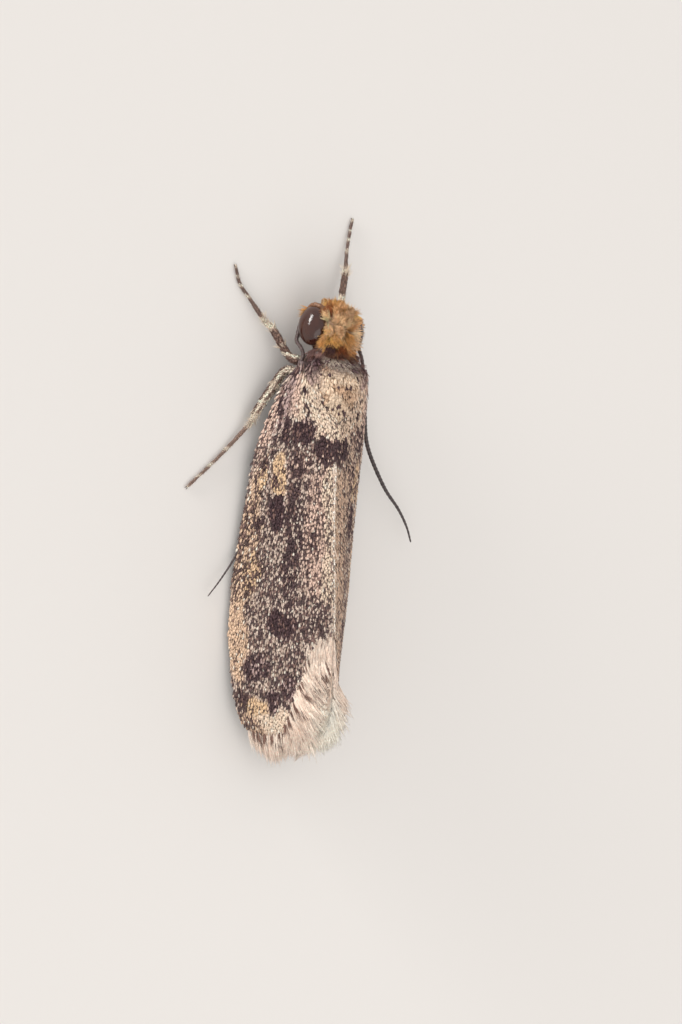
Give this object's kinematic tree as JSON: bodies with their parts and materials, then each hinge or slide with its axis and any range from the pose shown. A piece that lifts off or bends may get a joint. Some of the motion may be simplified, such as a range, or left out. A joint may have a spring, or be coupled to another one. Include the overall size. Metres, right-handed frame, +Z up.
{
  "type": "moth",
  "caption": "Small clothes-moth-like moth at rest with roofed mottled wings, tufted rusty head and long feelers.",
  "frame": {"origin": "on the floor below the middle of the moth's box, under the rear of the thorax", "axes": "-Y forward past the head, +X to the moth's left, +Z up"},
  "size_m": [0.0058, 0.0118, 0.0024],
  "materials": {
    "hair": "rough tufted rust and ochre hair scales",
    "eye": "dark purplish brown compound eye, semi-gloss",
    "feeler": "dark brown ringed feeler",
    "cream_scales": "matt cream and tan scales",
    "mottled_scales": "matt dark purplish brown and cream mottled scales",
    "hindwing_scales": "satin grey-brown scales",
    "banded_scales": "matt dark scales with pale rings"
  },
  "bodies": {
    "root": {"head": "hair", "eye_left": "eye", "eye_right": "eye", "palp_left": "hair", "palp_right": "hair", "antenna_left": "feeler", "antenna_right": "feeler", "thorax": "cream_scales", "abdomen": "cream_scales", "forewing_left": "mottled_scales", "forewing_right": "mottled_scales", "hindwing_left": "hindwing_scales", "hindwing_right": "hindwing_scales", "leg_fore_left": "banded_scales", "leg_fore_right": "banded_scales", "leg_mid_left": "banded_scales", "leg_mid_right": "banded_scales", "leg_hind_left": "banded_scales", "leg_hind_right": "banded_scales"}
  },
  "joints": []
}
